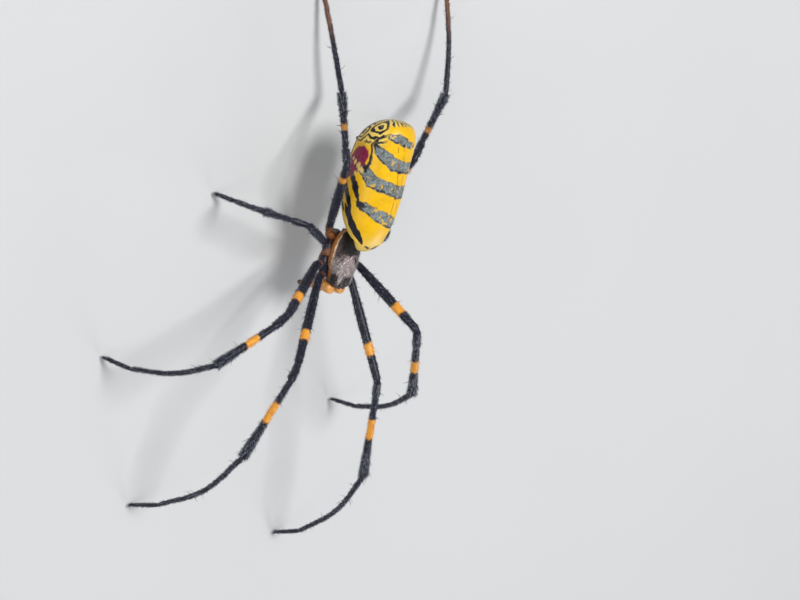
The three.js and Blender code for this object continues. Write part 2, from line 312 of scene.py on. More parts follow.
# Material helpers; a colour is a node's output or plain red, green and blue
def add_node(tree, kind, **settings):
    node = tree.nodes.new(kind)
    for key, value in settings.items():
        setattr(node, key, value)
    return node


def join(tree, value, socket):
    """Feed a socket from another node, a colour or a number."""
    if hasattr(value, "is_output"):
        tree.links.new(value, socket)
    elif hasattr(value, "__len__"):
        socket.default_value = (*value[:3], 1.0)
    else:
        socket.default_value = value


def mask(tree, name):
    return add_node(tree, "ShaderNodeAttribute", attribute_name=name).outputs["Fac"]


def grain(tree, per_mm, detail=4.0, distortion=0.0):
    """Noise on the object's own place, with that many features to a millimetre."""
    place = add_node(tree, "ShaderNodeTexCoord").outputs["Object"]
    node = add_node(tree, "ShaderNodeTexNoise")
    node.inputs["Scale"].default_value = per_mm * PER_MM
    node.inputs["Detail"].default_value = detail
    node.inputs["Distortion"].default_value = distortion
    tree.links.new(place, node.inputs["Vector"])
    return node.outputs["Fac"]


def remap(tree, value, low, high, to_low=0.0, to_high=1.0):
    node = add_node(tree, "ShaderNodeMapRange", interpolation_type="SMOOTHSTEP")
    join(tree, value, node.inputs["Value"])
    for name, number in zip(("From Min", "From Max", "To Min", "To Max"), (low, high, to_low, to_high)):
        node.inputs[name].default_value = number
    return node.outputs["Result"]


def mixed(tree, factor, first, second):
    node = add_node(tree, "ShaderNodeMix", data_type="RGBA")
    for value, socket in zip((factor, first, second), (0, 6, 7)):
        join(tree, value, node.inputs[socket])
    return node.outputs[2]


def flecked(tree, per_mm, tones):
    """A tone that varies between a dark and a light one in small flecks."""
    return mixed(tree, remap(tree, grain(tree, per_mm), 0.35, 0.65), *tones)


def marked(tree, colour, marks):
    """Lays each mark's colour over the ones before it, where its mask says."""
    for name, mark in marks.items():
        colour = mixed(tree, mask(tree, name), colour, mark)
    return colour


def finish(tree, shader, colour, *relief):
    """Colour and relief, in layers of (features per mm, detail, distortion, depth in mm, strength)."""
    tree.links.new(colour, shader.inputs["Base Color"])
    under = shader.inputs["Normal"]
    for per_mm, detail, distortion, depth, strength in reversed(relief):
        node = add_node(tree, "ShaderNodeBump")
        node.inputs["Strength"].default_value = strength
        node.inputs["Distance"].default_value = depth * MM
        tree.links.new(grain(tree, per_mm, detail, distortion), node.inputs["Height"])
        tree.links.new(node.outputs["Normal"], under)
        under = node.inputs["Normal"]


def new_material(name, rough, coat=0.0, sheen=0.0, specular=0.5):
    material = bpy.data.materials.new(name)
    material.use_nodes = True
    tree = material.node_tree
    shader = tree.nodes["Principled BSDF"]
    shader.inputs["Roughness"].default_value = rough
    shader.inputs["Coat Weight"].default_value = coat
    shader.inputs["Coat Roughness"].default_value = 0.25
    shader.inputs["Sheen Weight"].default_value = sheen
    shader.inputs["Sheen Roughness"].default_value = 0.4
    shader.inputs["Specular IOR Level"].default_value = specular
    return material, tree, shader


def shades(colour, dark, light=1.0):
    """A darker and a lighter shade of a colour, as shares of its brightness."""
    return tuple(tuple(channel * share for channel in colour) for share in (dark, light))


def abdomen_material():
    ink = colours()
    material, tree, shader = new_material("abdomen_skin", 0.45, coat=0.05, specular=0.35)
    patch = remap(tree, grain(tree, 0.8, 2.0), 0.3, 0.7)
    fine = remap(tree, grain(tree, 14.0, 3.0), 0.3, 0.7, 0.0, 0.18)
    yellow = mixed(tree, patch, *shades(ink.yellow, 0.86))
    yellow = mixed(tree, fine, yellow, shades(ink.yellow, 0.6)[0])
    cell = remap(tree, grain(tree, 2.6, 4.0, 1.2), 0.36, 0.62)
    colour = marked(tree, yellow, {
        "cream": ink.cream,
        "band": mixed(tree, cell, *shades(ink.band, 0.5, 1.2)),
        "crimson": flecked(tree, 5.0, shades(ink.crimson, 0.6, 1.5)),
        "under": flecked(tree, 5.0, BELLY),
        "spot": ink.cream,
        "line": VEIN_RUST,
        "black": ink.black,
    })
    finish(tree, shader, colour, (9.0, 4.0, 0.0, 0.02, 0.5), (2.2, 2.0, 0.6, 0.05, 0.35))
    rough = remap(tree, mask(tree, "band"), 0.0, 1.0, 0.40, 0.55)
    tree.links.new(rough, shader.inputs["Roughness"])
    return material


def carapace_material():
    ink = colours()
    material, tree, shader = new_material("carapace_cuticle", 0.5, coat=0.1)
    colour = marked(tree, flecked(tree, 7.0, shades(ink.carapace, 0.5, 1.6)), {
        "silver": flecked(tree, 7.0, shades(ink.silver, 0.45)),
        "margin": flecked(tree, 7.0, shades(ink.orange, 0.7)),
        # Painted sheen: a cream highlight where the hair along the sides catches the light
        "pale": PAINTED_SHEEN_CREAM,
        # Black marks, and over the rear middle also painted shade cast by the abdomen
        "dark": CARAPACE_BLACK,
    })
    finish(tree, shader, colour, (12.0, 4.0, 0.0, 0.03, 0.6))
    return material


def leg_material():
    ink = colours()
    material, tree, shader = new_material("leg_cuticle", 0.46, coat=0.08, sheen=0.08, specular=0.35)
    shader.inputs["Sheen Tint"].default_value = (*LEG_SHEEN, 1.0)
    # The black is the legs' own colour; its blue flecks are painted sheen, standing in for the legs'
    # bluish highlights
    black = (shades(ink.leg, 0.6)[0], LEG_PAINTED_SHEEN_BLUE)
    colour = marked(tree, flecked(tree, 9.0, black), {
        "brown": flecked(tree, 9.0, LEG_ROOT_BROWN),
        "ring": flecked(tree, 9.0, shades(ink.ring, 0.8)),
    })
    finish(tree, shader, colour, (16.0, 4.0, 0.0, 0.02, 0.6))
    return material


def hair_material(name, tones):
    material, tree, shader = new_material(name, 0.45)
    colour = mixed(tree, mask(tree, "tip"), *tones)
    finish(tree, shader, marked(tree, colour, {"ring": shades(colours().ring, 0.9)[0]}))
    return material


def cuticle_material(name, tones, rough=0.4, coat=0.2):
    material, tree, shader = new_material(name, rough, coat=coat)
    colour = marked(tree, flecked(tree, 4.0, tones), {"dark": END_BLACK})
    finish(tree, shader, colour, (14.0, 4.0, 0.0, 0.02, 0.5))
    return material


# A hair's faces, with three corners at its root, three half way and one at its tip; how light each
# corner is, and where it lies on its own small patch of the UV map
HAIR_FACES = ((0, 2, 1), (0, 1, 4, 3), (1, 2, 5, 4), (2, 0, 3, 5), (3, 4, 6), (4, 5, 6), (5, 3, 6))
HAIR_LIGHT = (0.1, 0.1, 0.1, 0.6, 0.6, 0.6, 1.0)
HAIR_PATCH = ((-1, -1), (1, -1), (0, -1), (-0.7, 0.3), (0.7, 0.3), (0, 0.3), (0, 1))
PATCH_SIZE = 0.003


def grow_hairs(name, roots, normals, leans, lengths, widths, spots, material, slot, light, ring):
    """One joined piece of thin three-sided hairs that bend over toward their lean."""
    count, corners = len(roots), len(HAIR_LIGHT)
    side = unit(np.cross(normals, leans + normals * 1e-3 + np.array([1e-4, 2e-4, 3e-4])))
    flat = unit(np.cross(side, normals))
    half = lengths[:, None] / 2
    thick = widths[:, None]
    sunk = roots - normals * thick
    middle = roots + unit(normals + leans * 0.8) * half
    tips = middle + unit(normals * 0.35 + leans) * half
    turns = math.tau / 3 * np.arange(3)
    offsets = [(side * math.cos(turn) + flat * math.sin(turn)) * thick for turn in turns]
    rings = [sunk + offset for offset in offsets] + [middle + offset * 0.65 for offset in offsets]
    points = np.stack([*rings, tips], axis=1)
    loops = np.concatenate(HAIR_FACES)
    all_loops = (loops + np.arange(count)[:, None] * corners).ravel()
    starts = np.cumsum([0, *(len(face) for face in HAIR_FACES[:-1])])
    all_starts = (starts + np.arange(count)[:, None] * len(loops)).ravel()
    mesh = bpy.data.meshes.new(name)
    mesh.vertices.add(count * corners)
    mesh.vertices.foreach_set("co", (points * MM).ravel())
    mesh.loops.add(len(all_loops))
    mesh.loops.foreach_set("vertex_index", all_loops.astype(np.int32))
    mesh.polygons.add(len(all_starts))
    mesh.polygons.foreach_set("loop_start", all_starts.astype(np.int32))
    mesh.update(calc_edges=True)
    write_masks(mesh, tip=(light[:, None] * HAIR_LIGHT).ravel(), ring=np.repeat(ring, corners))
    inner = PATCH_SIZE + (1 - 2 * PATCH_SIZE) * spots[:, None, :]
    place = inner + np.array(HAIR_PATCH) * PATCH_SIZE / 2
    layer = mesh.uv_layers.new(name="OFBake")
    layer.data.foreach_set("uv", place.reshape(-1, 2)[all_loops].ravel())
    mesh.validate()
    mount(link_object(name, mesh, material), slot)


# The abdomen
def abdomen_fullness(share, rear_power, front_reach=0.5):
    """Share of full size from the rear (0) to the front (1)."""
    behind = (np.maximum(0.5 - share, 0) / 0.5) ** rear_power
    ahead = (np.maximum(share - 0.5, 0) / front_reach) ** ABDOMEN_POWERS["front"]
    return np.sqrt(np.clip(1 - np.where(share < 0.5, behind, ahead), 0, None))


def abdomen_surface(share, angle):
    """Point of the abdomen's skin; the angle is measured from the top toward the right."""
    size, power = ABDOMEN_SIZE, ABDOMEN_POWERS
    axis = ABDOMEN_AXIS["rear"] + (ABDOMEN_AXIS["front"] - ABDOMEN_AXIS["rear"]) * share
    top = axis + size["dorsal"] * abdomen_fullness(share, power["dorsal"])
    low = axis - size["ventral"] * abdomen_fullness(share, power["ventral"], size["chest_reach"])
    low -= SKIN_INSET
    x = size["half_width"] * abdomen_fullness(share, power["side"]) * np.sin(angle)
    z = (top + low) / 2 + (top - low) / 2 * np.cos(angle)
    y = ABDOMEN_HIGH[1] - (1 - share) * ABDOMEN_LENGTH - size["slant"] * (z - axis) * (1 - share) ** 2
    return np.stack([MIDLINE + x, y, z], axis=-1)


def stroke(u, v, line, widths, soft=0.12):
    """How much a drawn line of changing width covers each place (u, v)."""
    cover = np.zeros(len(u))
    widths = np.interp(np.linspace(0, 1, len(line)), np.linspace(0, 1, len(widths)), widths)
    line = np.array(line, dtype=float)
    for i in range(len(line) - 1):
        start, step = line[i], line[i + 1] - line[i]
        t = np.clip(((u - start[0]) * step[0] + (v - start[1]) * step[1]) / max(step @ step, 1e-9), 0, 1)
        gap = np.hypot(u - start[0] - t * step[0], v - start[1] - t * step[1])
        half = (widths[i] * (1 - t) + widths[i + 1] * t) / 2
        cover = np.maximum(cover, smooth(half + soft / 2, half - soft / 2, gap))
    return cover


def in_mm(line):
    """A line of (mm from the front, degrees from the top) with its turns as mm round the skin."""
    return np.array(line, dtype=float) * (1.0, ARC_PER_DEGREE)


def blot(u, v, centre, radii, edge=0.4):
    """A soft-edged oval patch."""
    gap = np.hypot((u - centre[0]) / radii[0], (v - centre[1]) / radii[1])
    return smooth(1 + edge / 2, 1 - edge / 2, gap)


# The abdomen's markings, as lines of (mm from the front, degrees from the top) with their widths in mm.
# Cross bands run from the right flank (+) over the back to the left (-)
ARC_PER_DEGREE = 0.058
BAND_RIM = 0.26
CROSS_BANDS = (
    ([(5.75, 64), (5.5, 48), (5.3, 33), (4.9, 14), (4.4, -11), (3.9, -42), (4.2, -62), (4.9, -80)],
     (0.5, 0.85, 0.95, 1.05, 1.0, 0.95, 0.85, 0.5)),
    ([(9.6, 78), (9.3, 66), (8.6, 51), (8.2, 24), (7.7, -8), (7.5, -44), (7.9, -64), (8.8, -84)],
     (0.8, 1.15, 1.15, 1.1, 1.15, 1.1, 1.0, 0.7)),
    ([(12.25, 57), (11.75, 47), (11.3, 38), (10.7, 19), (10.3, -6), (10.0, -45), (10.6, -60),
      (11.4, -72)], (0.3, 0.75, 1.0, 1.05, 1.0, 1.0, 0.8, 0.4)),
    ([(13.35, 36), (13.2, 24), (13.0, 9), (12.5, -18), (12.5, -30)], (0.3, 0.6, 0.65, 0.5, 0.2)),
)
# Black flank markings of the right side; the left repeats them
BLACK_STROKES = (
    ([(5.0, 97), (4.6, 90), (3.9, 84), (3.2, 77), (2.4, 64), (1.7, 50)],
     (0.4, 1.0, 1.35, 1.45, 1.35, 0.8)),
    ([(8.3, 124), (7.5, 117), (6.6, 99), (5.6, 88), (4.7, 82)], (0.55, 0.9, 0.95, 0.7, 0.35)),
    ([(8.9, 98), (8.3, 92), (7.3, 78), (6.1, 67)], (0.35, 0.7, 0.65, 0.3)),
    ([(5.2, 118), (4.5, 106)], (0.75, 0.55)),
    ([(5.6, 60), (5.95, 68)], (0.85, 0.6)),
    ([(9.3, 64), (9.9, 72), (9.5, 80)], (0.35, 0.4, 0.25)),
    ([(12.3, 60), (12.2, 52)], (0.45, 0.3)),
    ([(0.75, 8), (0.95, 30)], (0.3, 0.34)),
    ([(9.5, 66), (10.5, 61), (11.5, 62), (12.3, 68), (12.9, 60)], (0.35, 0.3, 0.25, 0.3)),
)
LEFT_MARK = ([(0.6, -28), (0.6, -58)], (0.28, 0.3))
# Pale lines of the belly, one to each side
BELLY_LINE = ([(13.5, 140), (9.5, 139), (6.0, 136), (3.0, 124)], (0.4, 0.5, 0.4))
# Cream spots, as (mm from the front, degrees from the top, radius)
CREAM_SPOTS = ((10.05, 95, 0.25), (9.7, 84, 0.30), (9.25, 76, 0.36), (8.75, 88, 0.22), (10.3, 104, 0.15))
# Red vessels along the back: degrees to each side of a middle line, and that line's mm and degrees
VESSELS = (6.5, -7.5)
VESSEL_LEAN = ((4.0, 8.5, 10.4, 12.2), (-16.0, -10.0, -1.5, 8.0))


def rear_tracery(points, along, around):
    """Wavy concentric lines over the rear end."""
    wave = layered_noise(points, 0.9, 41)
    first = np.hypot((along - 14.2) / 1.0, (around - 68) * ARC_PER_DEGREE / 1.7)
    second = np.hypot((along - 13.4) / 0.9, (around - 112) * ARC_PER_DEGREE / 1.2)
    ripple = np.sin(np.minimum(first, second) * 12.5 + wave * 3.2)
    zone = smooth(12.1, 12.7, along - noise(points, 0.6, 43) * 0.3) * smooth(36, 52, around)
    zone = np.maximum(zone, smooth(14.2, 14.6, along)) * smooth(156, 134, around)
    return smooth(-0.15, 0.3, ripple) * zone, zone


def paint_abdomen(mesh, points, share, angle):
    warp = layered_noise(points, 1.4, 11) * 0.24 + noise(points, 0.3, 17) * 0.10
    sway = layered_noise(points, 1.2, 23) * 4.5 + noise(points, 0.28, 29) * 1.8
    along = (1 - share) * ABDOMEN_LENGTH + warp
    signed = np.degrees(angle) + sway
    around = np.abs(signed)
    across, side = signed * ARC_PER_DEGREE, around * ARC_PER_DEGREE
    band = rim = np.zeros(len(points))
    rough = 0.20 + 0.16 * noise(points, 0.45, 37)
    for line, widths in CROSS_BANDS:
        inner = stroke(along, across, in_mm(line), widths)
        outer = stroke(along + rough * 0.3, across, in_mm(line), np.add(widths, BAND_RIM))
        band = np.maximum(band, outer)
        rim = np.maximum(rim, outer - inner)
    veins = smooth(0.16, 0.03, np.abs(noise(points, 0.55, 53)))
    veins *= smooth(-0.1, 0.5, noise(points, 0.9, 57))
    tracery, zone = rear_tracery(points, along, around)
    black = np.maximum.reduce([
        rim * smooth(-0.55, 0.1, noise(points, 0.3, 31)) * 0.95,
        veins * band * 0.5,
        *(stroke(along, side, in_mm(line), widths, 0.14) for line, widths in BLACK_STROKES),
        stroke(along, across, in_mm(LEFT_MARK[0]), LEFT_MARK[1], 0.14),
        tracery,
    ])
    holes = smooth(0.42, 0.62, noise(points, 0.24, 59)) * smooth(-0.2, 0.3, noise(points, 1.1, 63))
    band *= 1 - 0.75 * holes
    flank = (around - 92) * ARC_PER_DEGREE
    patch = np.hypot((along - 10.2 + flank * 0.45) / 1.75, (flank - 0.1) / 1.5)
    crimson = smooth(1.06, 0.94, patch)
    edge = smooth(0.6, 1.02, patch) * smooth(0.2, 1.0, flank) * crimson
    spots = np.maximum.reduce([
        *(blot(along, side, (place, turn * ARC_PER_DEGREE), (size * 1.2, size), 0.5)
          for place, turn, size in CREAM_SPOTS),
        stroke(along, side, in_mm(BELLY_LINE[0]), BELLY_LINE[1], 0.2),
    ])
    cream = np.maximum.reduce([
        smooth(3.0, 0.4, along) * 0.7,
        smooth(62, 98, around) * smooth(7.0, 3.0, along) * 0.55,
        zone * 0.75,
    ])
    turn = np.degrees(angle) - np.interp(along, *VESSEL_LEAN)
    gap = np.min([np.abs(turn - place) for place in VESSELS], axis=0) * ARC_PER_DEGREE
    run = smooth(4.9, 5.8, along) * smooth(13.4, 12.4, along)
    broken = smooth(-0.4, 0.2, noise(points, 0.45, 47))
    write_masks(
        mesh, band=band, crimson=crimson, spot=spots, cream=cream,
        black=np.maximum(black * (1 - crimson * 0.8), edge * 0.55),
        under=smooth(117, 128, around + (along - 9.0) * 1.2) * smooth(0.6, 1.6, along),
        line=smooth(0.085, 0.03, gap) * run * broken * 0.8)


def build_abdomen():
    mesh, share, angle = dense_ball(*ABDOMEN_MESH)
    points = abdomen_surface(share, angle)
    outward = unit((points - points.mean(axis=0)) * np.array([1.0, 0.25, 1.0]))
    relief = layered_noise(points, 2.2, 3) * 0.035
    along = (1 - share) * ABDOMEN_LENGTH
    for place, turn in BACK_PITS:
        gap = np.hypot(along - place, (np.abs(np.degrees(angle)) - turn) * ARC_PER_DEGREE)
        relief -= PIT["depth"] * np.exp(-((gap / PIT["radius"]) ** 2))
    points = points + outward * (relief - SKIN_INSET)[:, None]
    write_points(mesh, points)
    paint_abdomen(mesh, points, share, angle)
    mount(link_object("abdomen_skin", mesh, abdomen_material()), "abdomen", "abdomen", "pedicel")


def build_waist():
    bm = bmesh.new()
    low, high = node_box("pedicel")
    bmesh.ops.create_cone(bm, cap_ends=True, segments=24, radius1=0.5, radius2=0.55, depth=2.2)
    bmesh.ops.subdivide_edges(bm, edges=bm.edges, cuts=2, use_grid_fill=True)
    bmesh.ops.transform(bm, matrix=Matrix.Rotation(math.radians(82), 4, "X"), verts=bm.verts)
    bmesh.ops.translate(bm, vec=Vector((low + high) / 2), verts=bm.verts)
    bmesh.ops.scale(bm, vec=(MM, MM, MM), verts=bm.verts)
    piece = object_from_bmesh("waist", bm, cuticle_material("waist_cuticle", WAIST_BROWN))
    write_masks(piece.data, dark=0.0)
    mount(piece, "coxa")


# The carapace
def prosoma_surface(share, angle):
    """Point of the cephalothorax; share runs from the rear (0) to the front (1)."""
    size, power = PROSOMA, PROSOMA_POWERS
    forward = PROSOMA_LOW[1] + share * (PROSOMA_HIGH[1] - PROSOMA_LOW[1]) - CENTRE_Y
    blunt = np.where(share < 0.5, power["rear"], power["front"])
    full = np.sqrt(np.clip(1 - np.abs(2 * share - 1) ** blunt, 0, None))
    head = smooth(size["head_start"], size["head_end"], forward)
    wide = size["half_width"] * (1 - head) + size["head_half_width"] * head
    crown = size["crown"] * (1 - head) + size["head_crown"] * head
    up, out = np.cos(angle), np.sin(angle)
    tall = np.where(up > 0, crown, size["keel"])
    x = wide * full * np.sign(out) * np.abs(out) ** power["side"]
    z = size["height"] + tall * full * np.sign(up) * np.abs(up) ** power["top"]
    return np.stack([MIDLINE + x, forward + CENTRE_Y, z], axis=-1), forward


def paint_carapace(mesh, points, forward, angle):
    rag = layered_noise(points, 0.45, 51) * 0.16
    side = np.abs(points[:, 0] - MIDLINE) + rag * 0.7
    ahead = forward + rag
    turn = np.abs(np.degrees(angle)) + rag * 12
    upper = smooth(86, 78, turn)
    margin = smooth(82, 86, turn) * smooth(118, 108, turn) * smooth(2.9, 2.0, ahead)
    # The pale strips along the sides are painted sheen, a cream highlight where the hair catches the
    # light
    pale = np.maximum(
        smooth(68, 72, turn) * smooth(85, 82, turn) * smooth(1.5, 0.7, ahead),
        stroke(side, ahead, [(1.78, 0.7), (1.5, 1.5)], (0.16, 0.05), 0.08) * 0.7)
    wedge = stroke(side, ahead, [(0.84, 1.9), (0.82, 2.9)], (0.5, 0.22))
    bar = [(0.05, -0.2), (0.6, 0.5), (1.15, 1.25), (1.2, 1.9)]
    silver = np.maximum.reduce([
        upper * smooth(-1.3, -0.3, ahead - side * 0.5) * 0.66,
        stroke(side, ahead, bar, (0.45, 0.6, 0.55, 0.3), 0.25),
        stroke(side, ahead, [(0.0, 0.2), (0.0, 1.8)], (0.3, 0.35), 0.2) * 0.8,
        wedge,
    ])
    dark = np.maximum.reduce([
        # Rear middle: the carapace's own dark colour, and also painted shade where the abdomen shades it
        smooth(-0.2, -0.75, ahead + side * 0.35) * smooth(1.55, 1.25, side) * upper * 0.92,
        blot(side, ahead, (1.5, -0.4), (0.17, 0.2)),
        blot(side, ahead, (0.0, -0.55), (0.14, 0.34)),
        stroke(side, ahead, [(0.85, -0.2), (1.42, 0.68)], (0.2, 0.14), 0.14),
        stroke(side, ahead, [(1.15, -1.0), (1.62, -0.8)], (0.12, 0.16)) * 0.8,
        smooth(1.75, 2.05, ahead + side * 0.15) * upper * (1 - wedge),
        smooth(2.75, 3.0, ahead) * smooth(118, 100, turn),
    ])
    sternum = smooth(128, 140, turn) * 0.45
    write_masks(mesh, silver=silver * (1 - dark), margin=np.maximum(margin * 0.75, sternum),
                pale=pale * (1 - dark), dark=dark)


# Grooves beside the midline, as (mm forward, slope, width, depth, mm from the midline at the start)
GROOVES = ((-0.75, 1.0, 0.22, 0.12, 0.2), (-0.45, 0.4, 0.16, 0.06, 0.4), (-1.15, 0.4, 0.16, 0.06, 0.4))


def build_carapace():
    mesh, share, angle = dense_ball(*PROSOMA_MESH)
    points, forward = prosoma_surface(share, angle)
    across = np.abs(points[:, 0] - MIDLINE)
    up = np.clip(np.cos(angle), 0, 1)
    relief = layered_noise(points, 0.8, 5) * 0.03
    relief -= 0.16 * np.exp(-((across / 0.16) ** 2) - ((forward + 0.55) / 0.4) ** 2) * up
    for place, slope, width, depth, start in GROOVES:
        gap = forward - place - across * slope
        relief -= depth * np.exp(-((gap / width) ** 2)) * up * smooth(start, start + 0.4, across)
    turn = np.degrees(np.abs(angle))
    relief += 0.06 * np.exp(-(((turn - 84) / 5) ** 2))
    points[:, 2] += relief * np.where(np.cos(angle) > 0, 1, 0)
    write_points(mesh, points)
    paint_carapace(mesh, points, forward, angle)
    mount(link_object("carapace", mesh, carapace_material()), "carapace", "cephalothorax")
    return points, angle, forward, mesh


def carapace_hair(points, angle, forward, mesh):
    draw = np.random.default_rng(71)
    normals = np.empty(len(mesh.vertices) * 3)
    mesh.vertex_normals.foreach_get("vector", normals)
    shine = read_mask(mesh, "silver") * (1 - read_mask(mesh, "dark"))
    ends = np.clip(np.sin(np.pi * np.clip((forward + 3.4) / 6.8, 0, 1)), 0.05, 1)
    chance = (0.12 + 0.88 * shine) * smooth(96, 76, np.degrees(np.abs(angle))) * ends
    picked = np.flatnonzero(draw.random(len(points)) < chance * 0.22)
    count = len(picked)
    normal = normals.reshape(-1, 3)[picked]
    inward = (MIDLINE - points[picked, 0]) * 0.25
    lean = np.stack([inward, np.full(count, 0.8), np.zeros(count)], axis=1)
    lean += draw.normal(0, 0.3, lean.shape)
    lean -= normal * np.sum(lean * normal, axis=1)[:, None]
    lengths = sizes().body_hair * PER_MM * draw.uniform(0.6, 1.25, count)
    widths = sizes().hair_width * PER_MM * draw.uniform(0.7, 1.2, count) * 0.8
    spots = np.stack([angle[picked] / math.tau + 0.5, (forward[picked] + 3.4) / 6.9], axis=1)
    grow_hairs("carapace_hair", points[picked], normal, unit(lean) * 1.6, lengths, widths,
               np.clip(spots, 0, 1), hair_material("silver_hair", SILVER_HAIR), "carapace",
               0.05 + 0.95 * np.clip(shine[picked], 0, 1), np.zeros(count))


def surface_height(x, forward):
    """Height of the carapace over a point beside the midline."""
    share = (forward + CENTRE_Y - PROSOMA_LOW[1]) / (PROSOMA_HIGH[1] - PROSOMA_LOW[1])
    angles = np.linspace(-math.pi / 2, math.pi / 2, 361)
    ring, _ = prosoma_surface(np.full(len(angles), share), angles)
    return float(np.interp(MIDLINE + x, ring[:, 0], ring[:, 2]))


# Eyes: two rows of four, as (mm from the midline, mm forward, share of the middle eye's size)
EYE_PLACES = ((0.30, 3.30, 1.0), (0.32, 2.92, 1.0), (0.98, 2.92, 0.85), (1.04, 2.60, 0.85))


def build_eyes():
    glass, tree, shader = new_material("eye_lens", 0.08, coat=1.0)
    shader.inputs["Coat Roughness"].default_value = 0.03
    finish(tree, shader, mixed(tree, grain(tree, 3.0, 3.0), *EYE_GLASS))
    for number, (x, forward, share) in enumerate(EYE_PLACES, 1):
        for word, side in SIDES.items():
            bm = bmesh.new()
            radius = sizes().eye * share
            bmesh.ops.create_icosphere(bm, subdivisions=4, radius=radius)
            height = surface_height(side * x, forward) * MM
            place = Vector(((MIDLINE + side * x) * MM, (CENTRE_Y + forward) * MM, height - radius * 0.3))
            bmesh.ops.translate(bm, vec=place, verts=bm.verts)
            mount(object_from_bmesh(f"eye_{number}_{word}", bm, glass), "fang")


# Swept tubes: legs, feelers, jaws
def segment_path(node, near):
    """Centre line of a solid's segment, starting at the end nearer to the given point."""
    points = read_points(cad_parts[node].data) * PER_MM
    middle = points.mean(axis=0)
    _, _, axes = np.linalg.svd(points - middle, full_matrices=False)
    place = (points - middle) @ axes[0]
    start, end = points[place.argmin()], points[place.argmax()]
    if np.linalg.norm(end - near) < np.linalg.norm(start - near):
        start, end = end, start
    chord = end - start
    t = (points - start) @ chord / (chord @ chord)
    steps = np.linspace(0.06, 0.94, 12)
    curve = np.stack([np.polyval(np.polyfit(t, points[:, k], 3), steps) for k in range(3)], axis=1)
    straight = start + steps[:, None] * chord
    pull = np.sin(np.pi * steps) ** 0.5
    return np.vstack([start, straight + (curve - straight) * pull[:, None], end])


def path_reach(path):
    """Distance down a path to each of its points."""
    return np.concatenate([[0], np.cumsum(np.linalg.norm(np.diff(path, axis=0), axis=1))])


def points_along(path, reach, along):
    return np.stack([np.interp(along, reach, path[:, k]) for k in range(3)], axis=1)


def leg_stations(name):
    """Even stations down a leg: places, parts, shares of the part, distances to a joint and radii."""
    near = PROSOMA_MIDDLE
    runs = []
    for part in LEG_PARTS:
        runs.append(segment_path(f"{name}_{part}", near))
        near = runs[-1][-1]
    for before, after in zip(runs, runs[1:]):
        before[-1] = after[0] = (before[-1] + after[0]) / 2
    runs[0][0] += unit(runs[0][0] - runs[0][-1]) * LEG_ROOT_REACH
    rows = []
    for index, (part, path) in enumerate(zip(LEG_PARTS, runs)):
        reach = path_reach(path)
        count = max(int(round(reach[-1] / LEG_SPACING)), 4)
        along = (np.arange(count) + 0.5) / count * reach[-1]
        share = along / reach[-1]
        from_near = along if index > COXA else math.inf
        from_far = reach[-1] - along if index < TARSUS else math.inf
        thick = 1.0 if part in EVEN_PARTS else LEG_THICKNESS[int(name[4])]
        rows.append((points_along(path, reach, along), np.full(count, index), share,
                     np.minimum(from_near, from_far), blend(LEG_RADII[part], share) * thick))
    places, parts, shares, to_joint, radius = (np.concatenate(column) for column in zip(*rows))
    for _ in range(2):
        places[1:-1] = (places[:-2] + places[1:-1] * 2 + places[2:]) / 4
    radius *= 1 - JOINT_PINCH["depth"] * np.exp(-((to_joint / JOINT_PINCH["reach"]) ** 2))
    to_foot = np.linalg.norm(places - places[-1], axis=1)
    radius *= 0.25 + 0.75 * np.sqrt(np.clip(to_foot / FOOT_TAPER, 0, 1))
    floor_room = np.clip(places[:, 2] - 0.01, 0.06, None)
    return places, parts, shares, to_joint, np.minimum(radius, floor_room)


def carried_frames(places):
    """Directions along, beside and above at each station, turned as little as possible."""
    tangent = unit(np.gradient(places, axis=0))
    beside = np.zeros_like(tangent)
    beside[0] = unit(np.cross(tangent[0], (0.0, 0.0, 1.0)))
    for i in range(1, len(places)):
        beside[i] = unit(beside[i - 1] - tangent[i] * (beside[i - 1] @ tangent[i]))
    return tangent, beside, np.cross(tangent, beside)


def sweep(places, radius, sides):
    """A closed tube along the stations, made by drawing one circle from station to station."""
    tangent, beside, above = carried_frames(places)
    bm = bmesh.new()
    station = bm.verts.layers.float.new("station")
    ring = bmesh.ops.create_circle(bm, cap_ends=False, segments=sides, radius=1.0)["verts"]
    first_ring, edges = list(ring), list(bm.edges)
    placed = Matrix.Identity(4)
    for i, place in enumerate(places):
        if i > 0:
            grown = bmesh.ops.extrude_edge_only(bm, edges=edges)["geom"]
            ring = [item for item in grown if isinstance(item, bmesh.types.BMVert)]
            edges = [item for item in grown if isinstance(item, bmesh.types.BMEdge)]
        turn = Matrix([axis[i] * radius[i] for axis in (beside, above, tangent)]).transposed()
        target = Matrix.Translation(Vector(place)) @ turn.to_4x4()
        bmesh.ops.transform(bm, matrix=target @ placed.inverted(), verts=ring)
        for vert in ring:
            vert[station] = i
        placed = target
    bmesh.ops.pointmerge(bm, verts=ring, merge_co=Vector(places[-1]))
    bmesh.ops.pointmerge(bm, verts=first_ring, merge_co=Vector(places[0]))
    bmesh.ops.scale(bm, vec=(MM, MM, MM), verts=bm.verts)
    return bm


def add_tube(name, places, radius, sides, material, slot, nodes=(), dark=None):
    """A swept piece of the body; dark is the span of its length over which its tone turns dark."""
    piece = object_from_bmesh(name, sweep(places, radius, sides), material)
    where = read_mask(piece.data, "station") / (len(places) - 1)
    write_masks(piece.data, dark=smooth(*dark, where) if dark else 0.0)
    mount(piece, slot, *nodes)


# Leg rings by pair, as (part, first share, last share, strength)
LEG_RINGS = {
    1: (("femur", 0.66, 0.765, 1.0), ("tibia", 0.27, 0.51, 1.0)),
    2: (("femur", 0.64, 0.765, 1.0), ("tibia", 0.27, 0.49, 1.0)),
    3: (),
    4: (("femur", 0.78, 0.86, 0.85), ("tibia", 0.30, 0.40, 0.6)),
}
RING_EDGE = 0.012
